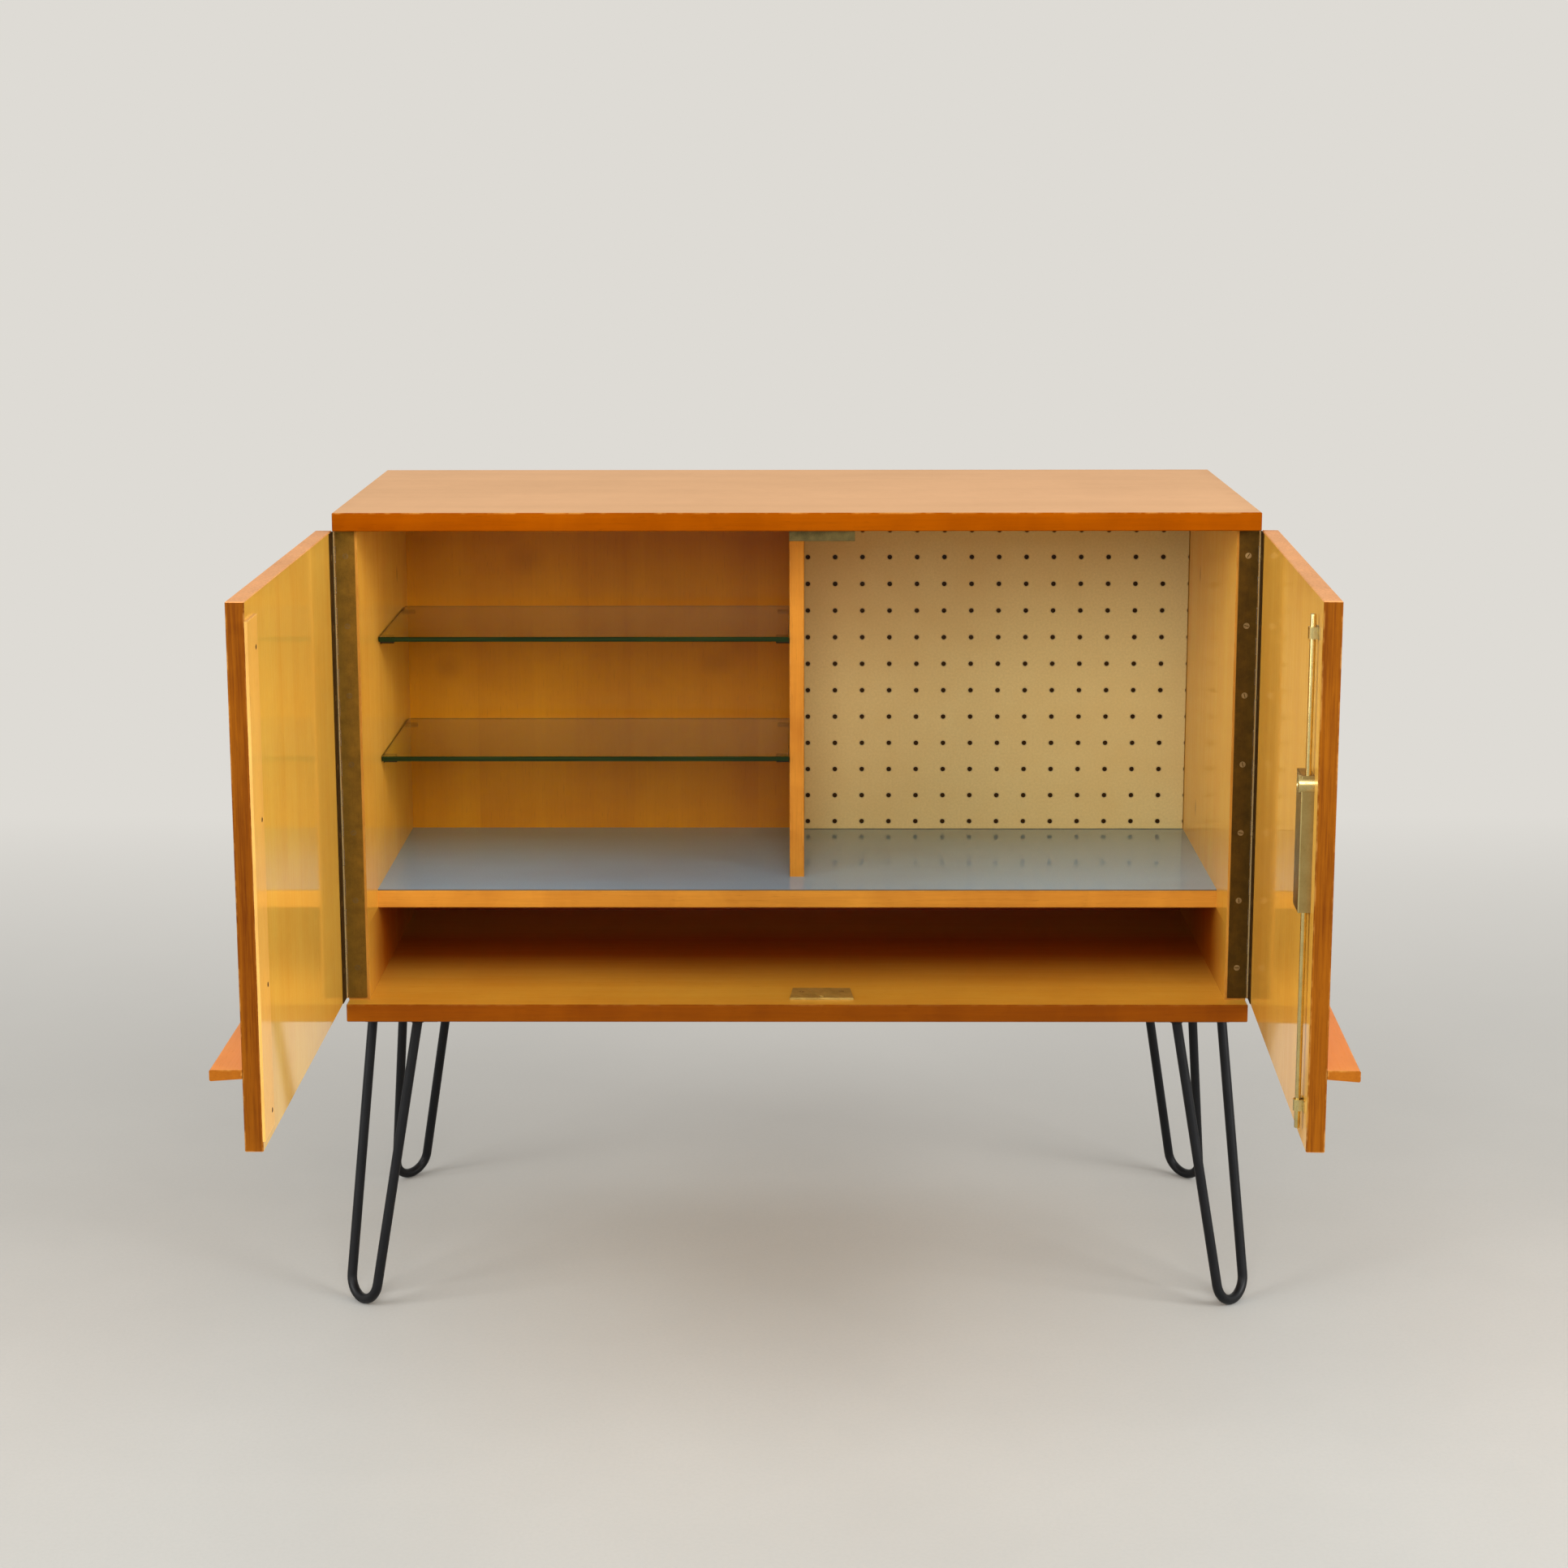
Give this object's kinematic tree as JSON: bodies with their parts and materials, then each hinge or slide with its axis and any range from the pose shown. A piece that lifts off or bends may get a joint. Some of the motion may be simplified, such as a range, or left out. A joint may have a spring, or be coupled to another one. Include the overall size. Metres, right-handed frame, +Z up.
{
  "type": "storage cabinet",
  "caption": "Two-door wooden storage cabinet on hairpin legs, with divider, glass shelves, pegboard back, piano hinges, ledge handles and a rod lock.",
  "frame": {"origin": "on the floor, under the middle of the box", "axes": "+Z up, square to the top board; -Y out of the front, which the doors close; +X to the right as seen from the front"},
  "size_m": [0.9935, 0.8301, 0.8119],
  "materials": {
    "veneer_outer": "clear satin varnish on honey-coloured smooth wood veneer",
    "veneer_inner": "clear satin varnish on honey-coloured smooth wood veneer",
    "back_board": "stained plywood",
    "laminate": "blue-grey laminate, matt",
    "pegboard": "painted hardboard, cream, matt",
    "glass": "clear float glass with green polished edges",
    "brass": "aged brass, satin",
    "hinge_brass": "dark aged brass",
    "screw_steel": "brassed steel screws",
    "zinc_steel": "zinc-plated steel",
    "black_steel": "satin black powder coat"
  },
  "bodies": {
    "cabinet": {"top_board": "veneer_outer", "bottom_board": "veneer_outer", "left_side_panel": "veneer_outer", "right_side_panel": "veneer_outer", "middle_shelf": "veneer_inner", "shelf_laminate": "laminate", "divider_panel": "veneer_inner", "back_panel": "back_board", "pegboard": "pegboard", "pegboard_battens": "veneer_inner", "shelf_pins": "zinc_steel", "left_hinge_frame_leaf": "hinge_brass", "right_hinge_frame_leaf": "hinge_brass", "left_hinge_pin": "hinge_brass", "right_hinge_pin": "hinge_brass", "frame_hinge_screws": "screw_steel", "upper_strike": "brass", "lower_strike": "brass", "strike_screws": "screw_steel", "front_left_leg": "black_steel", "front_right_leg": "black_steel", "rear_left_leg": "black_steel", "rear_right_leg": "black_steel", "front_left_leg_plate": "black_steel", "front_right_leg_plate": "black_steel", "rear_left_leg_plate": "black_steel", "rear_right_leg_plate": "black_steel", "leg_screws": "zinc_steel"},
    "left_door": {"left_door_panel": "veneer_outer", "left_door_ledge": "veneer_outer", "closing_strip": "veneer_outer", "left_hinge_door_leaf": "hinge_brass", "left_door_hinge_screws": "screw_steel"},
    "right_door": {"right_door_panel": "veneer_outer", "right_door_ledge": "veneer_outer", "right_hinge_door_leaf": "hinge_brass", "right_door_hinge_screws": "screw_steel", "lock_case": "brass", "upper_rod_guide": "brass", "lower_rod_guide": "brass", "keyhole_plate": "brass", "lock_screws": "screw_steel"},
    "upper_rod": {"upper_lock_rod": "brass"},
    "lower_rod": {"lower_lock_rod": "brass"},
    "pinion": {"lock_pinion": "zinc_steel"},
    "upper_glass": {"upper_glass_shelf": "glass"},
    "lower_glass": {"lower_glass_shelf": "glass"}
  },
  "joints": [
    {"name": "left_door_hinge", "type": "hinge", "parent": "cabinet", "child": "left_door", "pos_m": [-0.4519, -0.1731, 0.556], "axis": [0, 0, -1], "range_deg": [-90, 80]},
    {"name": "right_door_hinge", "type": "hinge", "parent": "cabinet", "child": "right_door", "pos_m": [0.4519, -0.1731, 0.556], "axis": [0, 0, 1], "range_deg": [-87.5, 82.5]},
    {"name": "upper_rod_slide", "type": "slide", "parent": "right_door", "child": "upper_rod", "axis": [0, 0, 1], "range_m": [0, 0.02]},
    {"name": "lower_rod_slide", "type": "slide", "parent": "right_door", "child": "lower_rod", "axis": [0, 0, 1], "range_m": [-0.02, 0]},
    {"name": "pinion_turn", "type": "hinge", "parent": "right_door", "child": "pinion", "pos_m": [0.42955, -0.59092, 0.583], "axis": [-0.999, 0.0436, 0], "range_deg": [0, 163.75]},
    {"name": "upper_glass_slide", "type": "slide", "parent": "cabinet", "child": "upper_glass", "axis": [0, -1, 0], "range_m": [0, 0.15]},
    {"name": "lower_glass_slide", "type": "slide", "parent": "cabinet", "child": "lower_glass", "axis": [0, -1, 0], "range_m": [0, 0.15]}
  ],
  "couplings": [
    {"joint": "lower_rod_slide", "follows": "upper_rod_slide", "ratio": -1},
    {"joint": "pinion_turn", "follows": "upper_rod_slide", "rad_per_m": 142.86}
  ]
}
